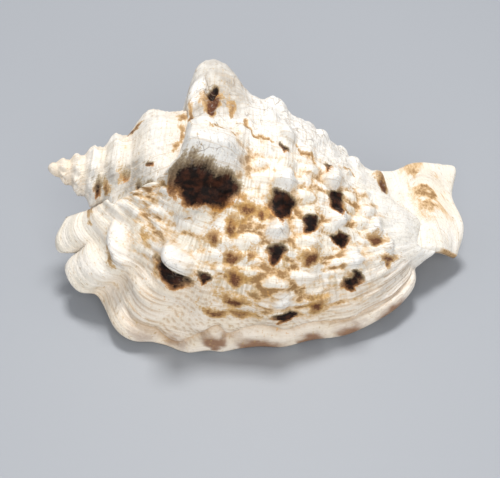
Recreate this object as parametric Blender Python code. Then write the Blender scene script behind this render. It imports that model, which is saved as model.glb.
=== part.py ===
"""A strombus shell lying on its opening, spire to the left, built in metres with +Z up.

The shell is one solid. It is drawn the way it grew: the older whorls with the pillar inside them, the last
whorl wrapped over them and flared into the lip, and the spout at the front end. The hollow that the lip
covers is the real opening, and it is open underneath. Lengths are millimetres, and MM turns them into metres.
"""

import bmesh
import bpy
import numpy as np

MM = 0.001
# Points closer than this are one point, in metres
WELD = 0.000002

# Axis of the coil: it starts at the tip of the spire and sinks towards the spout
APEX = np.array([-40.9, -2.9, 22.4])
AXIS_SINK = np.radians(13.0)
AXIS_SWING = np.radians(1.0)
WHORL_GROWTH = 1.61

# Where the build frame's origin goes: under the middle of the shell
MIDDLE_OF_BOX = np.array([1.86, -7.02, 0.0])

# Older whorls: slope of the spire, where the last seam lies, and the pillar (distance along the axis, radius)
SPIRE_SLOPE = [(0, 0.60), (5, 0.59), (10, 0.61), (14, 0.69), (18, 0.75), (25, 0.75), (31, 0.72)]
SEAM_DISTANCE = 25.5
SEAM_ANGLE = -50.0
PILLAR = [
    (18, 12.0), (25, 13.8), (33, 13.0), (38, 11.0), (45, 8.5), (55, 6.3), (65, 4.8), (72, 3.8), (78, 2.6),
    (84, 1.0),
]
SPIRE_END = 29.0
PILLAR_END = 84.0
AXIS_END = 84.8
COVERED_FROM = [
    (-180, 21.5), (-90, 24.8), (-50, 26.0), (0, 26.0), (35, 25.0), (55, 19.0), (85, 14.0), (120, 12.0),
    (150, 15.0), (180, 21.5),
]
COVER_BLEND = 4.0

# Last whorl, by angle around the axis: 0 is the top, 90 the front, and the whorl grows with the angle
WHORL_START = -240.0
WHORL_END = 35.0
SEAM_LINE = [(-240, 19.5), (-180, 21.4), (-90, 24.2), (-50, 25.4), (0, 25.6), (20, 25.2), (35, 24.6)]
FRONT_LINE = [(-240, 62), (-180, 66), (-90, 70), (-50, 71.0), (0, 70.5), (15, 71.0), (35, 76.0)]
GROWTH_LINE = [
    (-240, 0.35), (-205, 0.56), (-180, 0.66), (-135, 0.83), (-90, 0.94), (-50, 1.0), (0, 1.05), (35, 1.08),
]
# Its radius at the seam angle from the seam (0) to the front end (1), and the thinner front end underneath
WHORL_PROFILE = [
    (0.00, 15.6), (0.05, 17.0), (0.12, 18.2), (0.22, 18.9), (0.36, 18.9), (0.48, 17.2),
    (0.60, 14.8), (0.72, 12.4), (0.83, 10.4), (0.92, 8.9), (1.00, 8.0),
]
FRONT_TAPER = 0.55

# Lip: (place from the seam 0 to the front 1, x, y, z) of the line half way out and of the edge
LIP_MIDDLE = [
    (0.00, -28.5, -10.0, 19.0), (0.12, -20.3, -19.5, 18.8), (0.27, -11.8, -26.6, 18.0),
    (0.40, -3.6, -28.4, 17.0), (0.54, 4.8, -28.9, 16.0), (0.66, 12.6, -26.4, 14.0),
    (0.78, 21.9, -22.1, 12.0), (0.87, 28.7, -16.6, 10.5), (1.00, 34.0, -12.1, 9.5),
]
LIP_EDGE = [
    (0.00, -37.4, -8.6, 14.0), (0.02, -39.4, -10.4, 10.5), (0.045, -39.4, -12.7, 8.5),
    (0.07, -35.6, -13.1, 8.0), (0.10, -36.7, -15.7, 6.5), (0.14, -34.4, -20.7, 5.0),
    (0.18, -30.7, -21.5, 4.5), (0.22, -28.3, -24.4, 2.8), (0.27, -24.5, -28.7, 1.5),
    (0.34, -18.6, -29.7, 0.6), (0.40, -12.1, -31.4, -0.3), (0.47, -5.5, -30.7, -0.3),
    (0.54, 1.6, -30.1, -0.3), (0.66, 12.2, -28.8, -0.3), (0.72, 18.8, -27.7, 0.2),
    (0.78, 25.5, -25.0, 1.2), (0.83, 29.7, -21.9, 2.2), (0.87, 32.8, -18.5, 3.5),
    (0.90, 32.9, -15.3, 5.0), (0.94, 34.9, -13.3, 6.0), (1.00, 38.5, -11.3, 7.5),
]

# Wall: half of its thickness in the body, in the lobes by the spire, at the rim and in the spout, and how
# far in from their borders the sheets reach that thickness
HALF_WALL = 1.3
HALF_LOBE = 1.0
HALF_RIM = 1.8
HALF_SPOUT = 0.9
WALL_ROUNDING = 1.8
SPOUT_ROUNDING = 1.0

# Where the hollow of the last whorl ends, and the share of the radius that the inner sheet keeps beyond that
SOLID_UNTIL = (-85.0, -60.0)
INNER_SHARE = 0.12

# Horns: distance along the axis, angle, height, reach towards spire, spout, back and lip
HORNS = [
    (28.8, -46.0, 8.7, 3.0, 8.9, 5.5, 5.5),
    (27.2, 33.0, 9.0, 3.0, 8.2, 5.0, 4.5),
]
CREST_FALL = 0.04
# Knobs in rows along the whorl: distance along the axis, angle, height, reach
KNOBS = [
    (27.5, -85.0, 3.4, 3.6), (26.5, -122.0, 2.8, 3.4), (25.5, -158.0, 1.8, 3.2), (26.4, 81.0, 2.4, 3.2),
    (16.4, 99.0, 2.0, 2.6),
    (42.0, -90.0, 1.4, 2.6), (42.5, -55.0, 1.6, 2.6), (43.0, -22.0, 2.0, 2.6), (43.9, 11.0, 1.7, 2.3),
    (44.2, 41.0, 1.9, 2.5), (44.2, 65.0, 1.5, 2.3), (47.0, 89.0, 0.8, 2.3),
    (51.0, -72.0, 1.2, 2.2), (51.5, -38.0, 1.3, 2.2), (52.6, -5.0, 1.6, 2.2), (54.2, 30.0, 1.6, 2.1),
    (55.5, 56.0, 1.3, 2.0), (59.5, 75.0, 1.2, 2.0),
    (59.0, -38.0, 1.1, 2.0), (61.0, -4.0, 1.4, 2.0), (66.0, -2.0, 1.2, 1.8), (64.5, 59.0, 1.0, 1.9),
    (67.3, 70.0, 1.0, 1.7),
]
KNOB_LEE = 0.70

# Spout: back edge, crest, middle, front and front edge, each from the body out to the end
SPOUT_LINES = [
    [(21.0, 1.5, 8.5), (29.0, 2.5, 5.5), (36.0, 4.5, 5.5), (42.0, 8.0, 9.0)],
    [(22.0, 2.0, 16.5), (30.0, 5.0, 14.5), (36.0, 5.5, 16.5), (43.2, 5.5, 14.6)],
    [(24.0, -4.0, 16.5), (32.0, -1.0, 12.5), (38.0, 0.5, 12.8), (43.6, 1.0, 10.8)],
    [(26.0, -8.5, 12.5), (34.0, -6.0, 9.5), (39.5, -4.0, 9.0), (44.6, -4.0, 7.4)],
    [(27.5, -10.5, 8.0), (34.0, -10.0, 5.5), (38.5, -8.5, 4.2), (42.8, -8.5, 2.8)],
]

# Nets of the last whorl, the older whorls with the pillar, and the spout
WHORL_ROWS = 32
BODY_COLUMNS = 42
LIP_COLUMNS = 16
SPIRE_START = 2.0
SPIRE_ROWS = 35
PILLAR_ROWS = 7
SPIRE_COLUMNS = 36
SPOUT_ROWS = 8
SPOUT_COLUMNS = 12

# Block under the table's level: its sides and its depth, in metres
TABLE_SIDE = 0.2
TABLE_DEPTH = 0.03


def smooth_step(value, low, high):
    """0 below low and 1 above high, with an even ramp between."""
    t = np.clip((value - low) / (high - low), 0.0, 1.0)
    return t * t * (3.0 - 2.0 * t)


def smooth_curve(points, at):
    """Smooth curve through points, whose first number is the place along it."""
    table = np.array(points, float)
    knots = table[:, 0]
    values = table[:, 1:]
    curve = hermite(knots, values, np.clip(at, knots[0], knots[-1]))
    return curve[..., 0] if values.shape[1] == 1 else curve


def hermite(knots, values, at):
    """Cubic through values at knots, read at the places in at."""
    slopes = np.gradient(values, knots, axis=0)
    at = np.asarray(at, float)
    i = np.clip(np.searchsorted(knots, at, side="right") - 1, 0, len(knots) - 2)
    shape = at.shape + (1,) * (values.ndim - 1)
    step = (knots[i + 1] - knots[i]).reshape(shape)
    t = (at - knots[i]).reshape(shape) / step
    start = values[i] * (1 + 2 * t) * (1 - t) ** 2 + slopes[i] * step * t * (1 - t) ** 2
    end = values[i + 1] * t * t * (3 - 2 * t) - slopes[i + 1] * step * t * t * (1 - t)
    return start + end


def axis_frame():
    """Unit vectors along the coil axis, towards the back and up, square to each other."""
    along = np.array([
        np.cos(AXIS_SINK) * np.cos(AXIS_SWING),
        np.cos(AXIS_SINK) * np.sin(AXIS_SWING),
        -np.sin(AXIS_SINK),
    ])
    back = np.array([-np.sin(AXIS_SWING), np.cos(AXIS_SWING), 0.0])
    return along, back, np.cross(along, back)


ALONG, BACK, UP = axis_frame()


def coil_point(distance, degrees, radius):
    """Point at a distance along the axis, an angle around it and a radius from it."""
    distance, degrees, radius = np.broadcast_arrays(distance, degrees, radius)
    turn = np.radians(degrees)[..., None]
    outward = -np.sin(turn) * BACK + np.cos(turn) * UP
    return APEX + distance[..., None] * ALONG + radius[..., None] * outward


def body_guide(place, degrees):
    """Middle of the wall of the last whorl, before it leaves the coil."""
    seam = smooth_curve(SEAM_LINE, degrees)
    front = smooth_curve(FRONT_LINE, degrees)
    taper = 1.0 - FRONT_TAPER * smooth_step(place, 0.55, 1.0) * (1.0 - smooth_step(degrees, -150.0, -60.0))
    radius = smooth_curve(GROWTH_LINE, degrees) * smooth_curve(WHORL_PROFILE, place) * taper
    return coil_point(seam + (front - seam) * place, degrees, radius)


def whorl_guide(places, turns):
    """Middle of the wall of the last whorl and lip: turns run -1 to 0 round the body, 0 to 1 to the edge."""
    grid = np.zeros((len(places), len(turns), 3))
    on_body = turns <= 0
    body_degrees = WHORL_END + (WHORL_END - WHORL_START) * turns[on_body]
    place, degrees = np.meshgrid(places, body_degrees, indexing="ij")
    grid[:, on_body] = body_guide(place, degrees)
    lines = [body_guide(places, np.full_like(places, WHORL_END - back)) for back in (50.0, 25.0, 0.0)]
    lines += [smooth_curve(LIP_MIDDLE, places), smooth_curve(LIP_EDGE, places)]
    steps = [np.linalg.norm(b - a, axis=1).mean() for a, b in zip(lines, lines[1:])]
    knots = np.concatenate([[0.0], np.cumsum(steps)])
    knots = (knots - knots[2]) / (knots[4] - knots[2])
    lip = hermite(knots, np.stack(lines), turns[~on_body])
    grid[:, ~on_body] = lip.transpose(1, 0, 2)
    return grid


def grid_normals(grid):
    """Outward unit normals of a grid of points."""
    normal = np.cross(np.gradient(grid, axis=1), np.gradient(grid, axis=0))
    return normal / np.maximum(np.linalg.norm(normal, axis=-1, keepdims=True), 1e-9)


def cumulative_length(grid, axis):
    """Length along the grid lines from the first row or column to each point."""
    steps = np.linalg.norm(np.diff(grid, axis=axis), axis=-1)
    zero = np.zeros_like(np.take(steps, [0], axis=axis))
    return np.concatenate([zero, np.cumsum(steps, axis=axis)], axis=axis)


def rounded_edge(distance, width):
    """0 at an edge, rising like a quarter circle to 1 at the width."""
    t = np.clip(distance / width, 0.0, 1.0)
    return np.sqrt(np.maximum(1.0 - (1.0 - t) ** 2, 0.0))


def edge_factor(grid, width):
    """Rounding factor of a sheet: 0 on its four borders, 1 at more than the width from them."""
    factor = np.ones(grid.shape[:2])
    for axis in (0, 1):
        along = cumulative_length(grid, axis)
        total = np.take(along, [-1], axis=axis)
        factor = factor * rounded_edge(along, width) * rounded_edge(total - along, width)
    return factor


def bump(reach, power):
    """Rounded bump: 1 at the middle, a third at a reach of 1, 0 far out; a high power flattens its top."""
    return np.exp(-np.abs(reach) ** power)


def coil_offset(grid):
    """Distance along the coil axis, radius and unwrapped angle of each point, and its outward direction."""
    offset = grid - APEX
    distance = offset @ ALONG
    across = offset - distance[..., None] * ALONG
    radius = np.linalg.norm(across, axis=-1)
    turn = np.unwrap(np.arctan2(-(across @ BACK), across @ UP), axis=1)
    degrees = np.degrees(turn)
    degrees = degrees - 360.0 * np.round((degrees[:, :1] - WHORL_START) / 360.0)
    return distance, radius, degrees, across / np.maximum(radius[..., None], 1e-6)


def knob_push(distance, radius, degrees):
    """How far horns and knobs push each point of the last whorl out from the coil axis."""
    push = np.zeros(distance.shape)
    for at, angle, height, reach in KNOBS:
        along = (distance - at) / reach
        around = radius * np.radians(degrees - angle) / reach
        around = around / np.where(around < 0, 1.0, KNOB_LEE)
        push = np.maximum(push, height * bump(np.hypot(along, around), 2.2))
    for at, angle, height, to_spire, to_spout, to_back, to_lip in HORNS:
        along = distance - at
        around = radius * np.radians(degrees - angle)
        crest = height * (1.0 - CREST_FALL * np.clip(along, 0.0, to_spout))
        fall = np.where(along < 0, bump(along / to_spire, 3.5), bump(along / to_spout, 5.0))
        around = around / np.where(around < 0, to_back, to_lip)
        push = np.maximum(push, crest * fall * bump(around, 2.3))
    return push


def whorl_turns():
    """Columns of the last whorl, closer together over the top and at the rim."""
    lip = np.linspace(0.0, 1.0, LIP_COLUMNS + 1)[1:]
    body = -np.linspace(1.0, 0.0, BODY_COLUMNS + 1) ** 1.5
    return np.concatenate([body, 1.0 - (1.0 - lip) ** 1.4])


def border_spacing(count, power=1.6):
    """Places from 0 to 1, closer together at both ends."""
    t = np.linspace(-1.0, 1.0, count + 1)
    return 0.5 + 0.5 * np.sign(t) * (1.0 - (1.0 - np.abs(t)) ** power)


def last_whorl():
    """Outer and inner sheet of the last whorl and lip."""
    places = border_spacing(WHORL_ROWS)
    turns = whorl_turns()
    grid = whorl_guide(places, turns)
    normal = grid_normals(grid)
    place, turn = np.meshgrid(places, turns, indexing="ij")
    degrees = WHORL_END + (WHORL_END - WHORL_START) * np.minimum(turn, 0.0)
    rim = smooth_step(turn, 0.75, 1.0) * smooth_step(place, 0.2, 0.35) * (1.0 - smooth_step(place, 0.8, 0.9))
    lobe = smooth_step(turn, 0.3, 0.8) * (1.0 - smooth_step(place, 0.1, 0.3))
    half = HALF_WALL + (HALF_RIM - HALF_WALL) * rim + (HALF_LOBE - HALF_WALL) * lobe
    factor = edge_factor(grid, WALL_ROUNDING)
    distance, radius, around, outward = coil_offset(grid)
    push = knob_push(distance, radius, around) * smooth_step(factor, 0.0, 1.0)
    outer = grid + normal * (half * factor)[..., None] + outward * push[..., None]
    inner = grid - normal * (half * factor)[..., None]
    fill = (1.0 - smooth_step(degrees, *SOLID_UNTIL)) * smooth_step(factor, 0.0, 1.0)
    on_axis = APEX + distance[..., None] * ALONG
    inner = inner + (on_axis + (grid - on_axis) * INNER_SHARE - inner) * fill[..., None]
    return outer, inner


def spire_radius(distance, degrees):
    """Radius of the older whorls, with a seam at each whole turn and knobs on the shoulder."""
    turns = np.log(distance / SEAM_DISTANCE) / np.log(WHORL_GROWTH) - (degrees - SEAM_ANGLE) / 360.0
    part = np.where(turns < 0.0, turns - np.floor(turns), 1.0)
    seam = np.exp(-((np.minimum(part, 1.0 - part) / 0.07) ** 2))
    slope = smooth_curve(SPIRE_SLOPE, distance)
    shape = slope * (1.0 + 0.12 * np.cos(2.0 * np.pi * (part - 0.27))) - 0.05 * seam
    knobs = 0.05 * np.exp(-(((part - 0.27) / 0.14) ** 2)) * np.cos(np.radians(degrees) * 9.0)
    return distance * (shape + knobs)


def core():
    """Rings of the older whorls and the pillar, from the tip of the spire to the front end."""
    spire = SPIRE_START * (SPIRE_END / SPIRE_START) ** np.linspace(0.0, 1.0, SPIRE_ROWS)
    pillar = np.linspace(SPIRE_END, PILLAR_END, PILLAR_ROWS + 1)[1:]
    degrees = np.linspace(-180.0, 180.0, SPIRE_COLUMNS, endpoint=False)
    distance, degrees = np.meshgrid(np.concatenate([spire, pillar]), degrees, indexing="ij")
    covered = smooth_curve(COVERED_FROM, degrees)
    blend = smooth_step(distance, covered, covered + COVER_BLEND)
    radius = spire_radius(distance, degrees) * (1.0 - blend) + smooth_curve(PILLAR, distance) * blend
    return coil_point(distance, degrees, radius)


def spout():
    """Outer and inner sheet of the spout."""
    net = np.array(SPOUT_LINES)
    across = hermite(np.linspace(0.0, 1.0, net.shape[0]), net, border_spacing(SPOUT_COLUMNS))
    grid = hermite(np.linspace(0.0, 1.0, net.shape[1]), across.transpose(1, 0, 2), border_spacing(SPOUT_ROWS))
    normal = grid_normals(grid)
    normal = normal * np.sign(np.sum(normal * UP, axis=-1).mean())
    wall = (HALF_SPOUT * edge_factor(grid, SPOUT_ROUNDING))[..., None]
    return grid + normal * wall, grid - normal * wall


def finish_solid(name, work, points):
    """Closed object from a bmesh whose vertices go to the points, in millimetres from the spire's frame."""
    places = (points - MIDDLE_OF_BOX) * MM
    for vertex, place in zip(work.verts, places.tolist()):
        vertex.co = place
    bmesh.ops.remove_doubles(work, verts=work.verts, dist=WELD)
    bmesh.ops.recalc_face_normals(work, faces=work.faces)
    bmesh.ops.triangulate(work, faces=work.faces)
    mesh = bpy.data.meshes.new(name)
    work.to_mesh(mesh)
    work.free()
    body = bpy.data.objects.new(name, mesh)
    bpy.context.collection.objects.link(body)
    return body


def net_places(work, rows, columns):
    """Row and column of each vertex of a flat grid that reaches from -1 to 1."""
    flat = np.array([vertex.co.xy for vertex in work.verts])
    column = np.rint((flat[:, 0] + 1.0) / 2.0 * (columns - 1)).astype(int)
    row = np.rint((flat[:, 1] + 1.0) / 2.0 * (rows - 1)).astype(int)
    return row, column


def split_corners(work):
    """Splits the corner faces of a flat grid from the corner inwards, so two sheets share no diagonal."""
    for corner in [vertex for vertex in work.verts if len(vertex.link_faces) == 1]:
        far = max(corner.link_faces[0].verts, key=lambda vertex: (vertex.co - corner.co).length)
        bmesh.ops.connect_verts(work, verts=[corner, far])


def sheet_solid(name, outer, inner):
    """Closed body between two sheets that share their border points."""
    rows, columns = outer.shape[:2]
    work = bmesh.new()
    bmesh.ops.create_grid(work, x_segments=columns - 1, y_segments=rows - 1, size=1.0)
    split_corners(work)
    upper = len(work.verts)
    bmesh.ops.duplicate(work, geom=work.verts[:] + work.edges[:] + work.faces[:])
    row, column = net_places(work, rows, columns)
    lower = np.arange(len(row)) >= upper
    return finish_solid(name, work, np.where(lower[:, None], inner[row, column], outer[row, column]))


def ring_solid(name, rings, start, end):
    """Closed body around rings of points, with a point at each end, drawn out from a sphere."""
    rows, columns = rings.shape[:2]
    work = bmesh.new()
    bmesh.ops.create_uvsphere(work, u_segments=columns, v_segments=rows + 1, radius=1.0)
    ball = np.array([vertex.co for vertex in work.verts])
    ring = np.rint(np.arccos(np.clip(ball[:, 2], -1.0, 1.0)) / np.pi * (rows + 1)).astype(int) - 1
    column = np.rint(np.arctan2(ball[:, 1], ball[:, 0]) / (2.0 * np.pi) * columns).astype(int) % columns
    points = rings[np.clip(ring, 0, rows - 1), column]
    points[ring < 0] = start
    points[ring >= rows] = end
    return finish_solid(name, work, points)


def boolean(body, other, operation):
    """Cut or join another solid into the body, and remove it."""
    step = body.modifiers.new(operation, "BOOLEAN")
    step.operation = operation
    step.solver = "EXACT"
    step.object = other
    bpy.context.view_layer.objects.active = body
    bpy.ops.object.modifier_apply(modifier=step.name)
    bpy.data.objects.remove(other)


def table_block():
    """Block that trims what would reach below the table, which leaves the small worn flats."""
    work = bmesh.new()
    bmesh.ops.create_cube(work, size=1.0)
    bmesh.ops.scale(work, vec=(TABLE_SIDE, TABLE_SIDE, TABLE_DEPTH), verts=work.verts)
    bmesh.ops.translate(work, vec=(0.0, 0.0, -0.5 * TABLE_DEPTH), verts=work.verts)
    mesh = bpy.data.meshes.new("table")
    work.to_mesh(mesh)
    work.free()
    block = bpy.data.objects.new("table", mesh)
    bpy.context.collection.objects.link(block)
    return block


def build():
    """The whole shell as one body."""
    body = ring_solid("shell", core(), APEX, APEX + AXIS_END * ALONG)
    boolean(body, sheet_solid("whorl", *last_whorl()), "UNION")
    boolean(body, sheet_solid("spout", *spout()), "UNION")
    boolean(body, table_block(), "DIFFERENCE")
    return body


def shell_material():
    """Chalky cream shell."""
    material = bpy.data.materials.new("shell")
    material.use_nodes = True
    surface = material.node_tree.nodes["Principled BSDF"]
    surface.inputs["Base Color"].default_value = (0.78, 0.69, 0.56, 1.0)
    surface.inputs["Roughness"].default_value = 0.6
    surface.inputs["Metallic"].default_value = 0.0
    return material


for old in list(bpy.data.objects):
    bpy.data.objects.remove(old)
shell = build()
shell.data.materials.clear()
shell.data.materials.append(shell_material())
shell.data.shade_smooth()
shell.data.set_sharp_from_angle(angle=np.radians(40.0))
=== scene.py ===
"""Looks of the strombus shell: last whorl with its lip, spire and spout, knobbed, worn and stained.

Lengths are millimetres, and MM turns them into metres. Most sizes are told in the shell's own directions: the
distance along the coil axis from the tip of the spire, and the angle around it, where 0 is the top and 90 the
lip's side.
"""

from types import SimpleNamespace

import bmesh
import bpy
import numpy as np
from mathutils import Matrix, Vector


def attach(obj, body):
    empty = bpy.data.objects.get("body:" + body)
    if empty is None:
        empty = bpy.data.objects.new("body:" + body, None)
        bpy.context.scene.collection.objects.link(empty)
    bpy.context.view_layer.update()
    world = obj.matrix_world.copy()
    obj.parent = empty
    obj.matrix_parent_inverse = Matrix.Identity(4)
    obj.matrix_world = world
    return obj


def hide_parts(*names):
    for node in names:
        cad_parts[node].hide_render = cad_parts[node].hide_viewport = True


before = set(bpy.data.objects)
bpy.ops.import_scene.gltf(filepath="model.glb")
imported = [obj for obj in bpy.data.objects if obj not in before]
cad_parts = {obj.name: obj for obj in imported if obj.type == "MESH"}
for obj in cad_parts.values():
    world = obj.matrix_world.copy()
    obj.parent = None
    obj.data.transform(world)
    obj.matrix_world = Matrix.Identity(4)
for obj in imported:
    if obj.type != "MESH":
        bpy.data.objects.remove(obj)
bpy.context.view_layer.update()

MM = 0.001

# Axis of the coil: it starts at the tip of the spire and sinks towards the spout
APEX = np.array([-40.9, -2.9, 22.4])
AXIS_SINK = np.radians(13.0)
AXIS_SWING = np.radians(1.0)
MIDDLE_OF_BOX = np.array([1.86, -7.02, 0.0])

# Older whorls: slope of the spire (distance along the axis, radius over that distance)
SPIRE_SLOPE = [
    (0, 0.60), (2.5, 0.56), (5, 0.57), (8, 0.60), (12.6, 0.655), (15.2, 0.69), (17.4, 0.74), (19.5, 0.725),
    (22.5, 0.695), (25, 0.69), (31, 0.65),
]
# Turns back from the last seam, read along the axis at the seam's angle (distance, turns)
SPIRE_TURNS = [
    (0, -5.4), (1.2, -5), (3.9, -4), (6.6, -3), (10.2, -2), (14.6, -1), (18.6, -0.5), (25.5, 0), (36, 1),
]
SEAM_ANGLE = -50.0
# Beads on the shoulder, where in a turn it lies, spacing of the fine cords, growth per radian and distance
BEADS_A_TURN = 9.0
SHOULDER = 0.42
SPIRE_CORD = 0.95
RING_GROWTH = 0.7
# Pillar inside the last whorl (distance along the axis, radius), where each stretch ends, and its front end
PILLAR = [
    (18, 12), (25, 13.8), (33, 13), (38, 11), (45, 8.5), (55, 6.3), (65, 4.8), (72, 3.8), (78, 2.6), (84, 1),
]
SPIRE_END = 29.0
PILLAR_END = 84.0
AXIS_END = 84.8
# Where the last whorl starts to cover the spire (angle, distance along the axis), and over what length
COVERED_FROM = [
    (-180, 21.5), (-90, 24.8), (-50, 26), (0, 26), (35, 25), (55, 19), (85, 14), (120, 12), (150, 15),
    (180, 21.5),
]
COVER_BLEND = 4.0

# Last whorl: angles where it starts and ends, its seam and its front (angle, distance), its growth
# (angle, share of the radius) and its profile (place from the seam 0 to the front 1, radius)
WHORL_START = -240.0
WHORL_END = 35.0
SEAM_LINE = [(-240, 19.5), (-180, 21.4), (-90, 24.2), (-50, 25.4), (0, 25.6), (20, 25.2), (35, 24.6)]
FRONT_LINE = [(-240, 62), (-180, 66), (-90, 70), (-50, 71), (0, 70.5), (15, 71), (35, 76)]
GROWTH_LINE = [
    (-240, 0.35), (-205, 0.56), (-180, 0.66), (-135, 0.83), (-90, 0.94), (-50, 1), (0, 1.05), (35, 1.08),
]
WHORL_PROFILE = [
    (0, 15.6), (0.05, 17), (0.12, 18.2), (0.22, 18.9), (0.36, 18.9), (0.48, 17.2), (0.60, 14.8),
    (0.72, 12.4), (0.83, 10.4), (0.92, 8.9), (1, 8),
]
# How much the front end narrows on top
FRONT_TAPER = 0.55

# Lip: (place from the seam 0 to the front 1, x, y, z) of the line half way out and of the edge
LIP_MIDDLE = [
    (0, -28.5, -10, 19), (0.12, -20.3, -19.5, 18.8), (0.27, -11.8, -26.6, 18), (0.40, -3.6, -28.4, 17),
    (0.54, 4.8, -28.9, 16), (0.66, 12.6, -26.4, 14), (0.78, 21.9, -22.1, 12), (0.87, 28.7, -16.6, 10.5),
    (1, 34, -12.1, 9.5),
]
LIP_EDGE = [
    (0, -37.4, -8.6, 14), (0.02, -39.4, -10.4, 10.5), (0.045, -39.4, -12.7, 8.5), (0.07, -38.7, -14.4, 7.7),
    (0.10, -37.2, -16.9, 6.4), (0.14, -34.4, -20.7, 5), (0.18, -30.7, -21.5, 4.5), (0.22, -28.3, -24.4, 2.8),
    (0.27, -24.5, -28.7, 1.5), (0.34, -18.6, -29.7, 0.6), (0.40, -12.1, -31.4, -0.3),
    (0.47, -5.5, -30.7, -0.3), (0.54, 1.6, -30.1, -0.3), (0.66, 12.2, -28.8, -0.3), (0.72, 18.8, -27.7, 0.2),
    (0.78, 25.5, -25, 1.2), (0.83, 29.7, -21.9, 2.2), (0.87, 32.8, -18.5, 3.5), (0.90, 32.9, -15.3, 5),
    (0.94, 34.9, -13.3, 6), (1, 38.5, -11.3, 7.5),
]

# Notches in the rim: place, half width and how far its edge is drawn in
NOTCHES = [(0.070, 0.014, (3.3, 1.3, 0.3))]

# Wall: half its thickness in the body, in the posterior lobes and at the rim, and how its border is rounded
HALF_WALL = 1.3
HALF_LOBE = 1.0
HALF_RIM = 1.8
WALL_ROUNDING = 1.8
# Angles between which the inner sheet leaves the axis, and its share of the radius before that
SOLID_UNTIL = (-85.0, -60.0)
INNER_SHARE = 0.12

# Net of the last whorl: rows from the seam to the front, columns round the hidden back, over the top and on
# the lip, and the turn at which the back's columns end
WHORL_ROWS = 200
BACK_COLUMNS = 50
TOP_COLUMNS = 90
LIP_COLUMNS = 95
BACK_UNTIL = -0.40

# Horns: distance along the axis, angle, height, reach towards spire, spout, back and lip
HORNS = [(28.8, -46, 8.7, 3, 8.9, 5.5, 5.5), (27.2, 33, 9, 3, 8.2, 5, 4.5)]
# Knobs in rows along the whorl: distance along the axis, angle, height, reach
KNOBS = [
    (27.5, -85, 3, 3.4), (26.5, -122, 2.8, 3.2), (25.5, -158, 1.8, 3), (28, 86, 3.6, 2.9),
    (16.8, 103, 1.4, 2.4), (42, -90, 1.8, 2.4), (42.5, -55, 1.8, 2.4), (41, -125, 1.5, 2.3),
    (43, -22, 2.4, 2.6), (43.9, 11, 1.7, 2.3), (44.2, 41, 2.3, 2.6), (44.2, 65, 1.9, 2.4),
    (47, 89, 0.7, 2.3), (51, -72, 1.2, 2.2), (51.5, -38, 1.3, 2.2), (52.6, -8, 2.1, 2.1), (54.2, 32, 2, 2.3),
    (55.5, 57, 1.8, 2.2), (59.5, 75, 1.6, 2.2), (59, -38, 1.1, 2), (60.8, -6, 1.9, 1.9), (66.6, -6, 1.9, 2),
    (64.5, 59, 1, 1.9), (67.3, 70, 1, 1.7),
]
# How steep the knobs fall towards the lip, how the horns' crests fall towards the spout, and their sharp keel
KNOB_LEE = 0.60
CREST_FALL = 0.04
HORN_KEEL = 0.15

# Rounded ribs along the rows of knobs: cord that each follows, and their height
RIBS = (35.5, 43.8, 49.5, 54.6, 62.8, 68.0)
RIB_HEIGHT = 0.55

# Cords: they fan out over the lip from the middle cord, and growth breaks them into blocks
FAN_MIDDLE = 40.0
FAN = 0.55
BLOCK_WIDTH = 4.2
BLOCK_LENGTH = 2.9
FINE_CORD = 1.05
# Heights of the blocks, the fine cords, the growth lines and the layers near the rim, and a layer's length
BLOCK_HEIGHT = 1.25
CORD_HEIGHT = 0.04
LINE_HEIGHT = 0.05
LAYER_HEIGHT = 0.30
LAYER_LENGTH = 1.25

# Rim: the creased line between its roll and the growth layers (place, turn)
RIM_LINE = [
    (0.20, 0.90), (0.255, 0.89), (0.317, 0.901), (0.383, 0.945), (0.403, 0.885), (0.429, 0.84),
    (0.467, 0.885), (0.499, 0.85), (0.531, 0.833), (0.591, 0.87), (0.647, 0.832), (0.713, 0.856),
    (0.778, 0.839), (0.838, 0.855), (0.876, 0.846), (0.92, 0.87), (1, 0.88),
]
# Depth of that crease, height of the roll, and how far the edge and the growth lines follow the waves
RIM_CREASE = 0.80
RIM_SWELL = 0.85
RIM_WAVE = 20.0
LINE_WAVE = 33.0
# Front end of the body: how far it sinks into the spout, and how much its fold at the lip swells
FRONT_SINK = 1.6
FOLD_SWELL = 0.2
# Folds of the wing: (place, height), fading from the edge inwards
WING_FOLDS = [
    (0, 0), (0.03, 0.3), (0.07, -0.4), (0.12, 0.8), (0.19, -0.8), (0.26, 0.9), (0.33, -0.2), (0.40, 0),
    (1, 0),
]

# Dark stains: distance along the axis, angle, half length along and around in millimetres, strength
STAINS = [
    (44.3, 53.5, 1.8, 2.6, 1.3), (55, 47, 1.4, 2.2, 1.3), (49.6, 61.5, 1.1, 1.5, 1.1),
    (44.7, 73.5, 1.5, 1.5, 1.1), (56.7, 67, 1.6, 1.2, 1.1), (27.4, 92, 2.6, 1.7, 1.15),
    (32.7, 87.5, 1.2, 1.2, 1.1), (60.4, 83.5, 1.9, 1.1, 1.1), (48.6, 96.5, 2.1, 1.3, 1.15),
    (43.6, 22, 0.8, 0.9, 0.9), (52.5, 22, 0.6, 1, 0.8), (30.3, -20.5, 1, 2.4, 1.5),
    (27.8, -76, 1.8, 1.7, 1.15), (26.6, -112, 1.7, 1.7, 1.1), (42.3, -80, 1.3, 1.5, 1.1),
    (51.3, -61, 1.1, 1.3, 1),
]
# Stain under the younger horn, which fades like smoke towards the horn's crest: dark stain low on its face,
# and painted shade of the crest's underside where it fades
SMOKY_STAINS_AND_SHADE = [
    (29, 50.5, 2.7, 3.3, 1.35), (33.4, 51, 2.6, 2.8, 1.30), (31.2, 54, 2.5, 1.4, 1.2),
    (26, 49, 0.9, 3, 0.65), (31.6, 44.5, 3.4, 1.2, 0.45),
]
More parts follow.
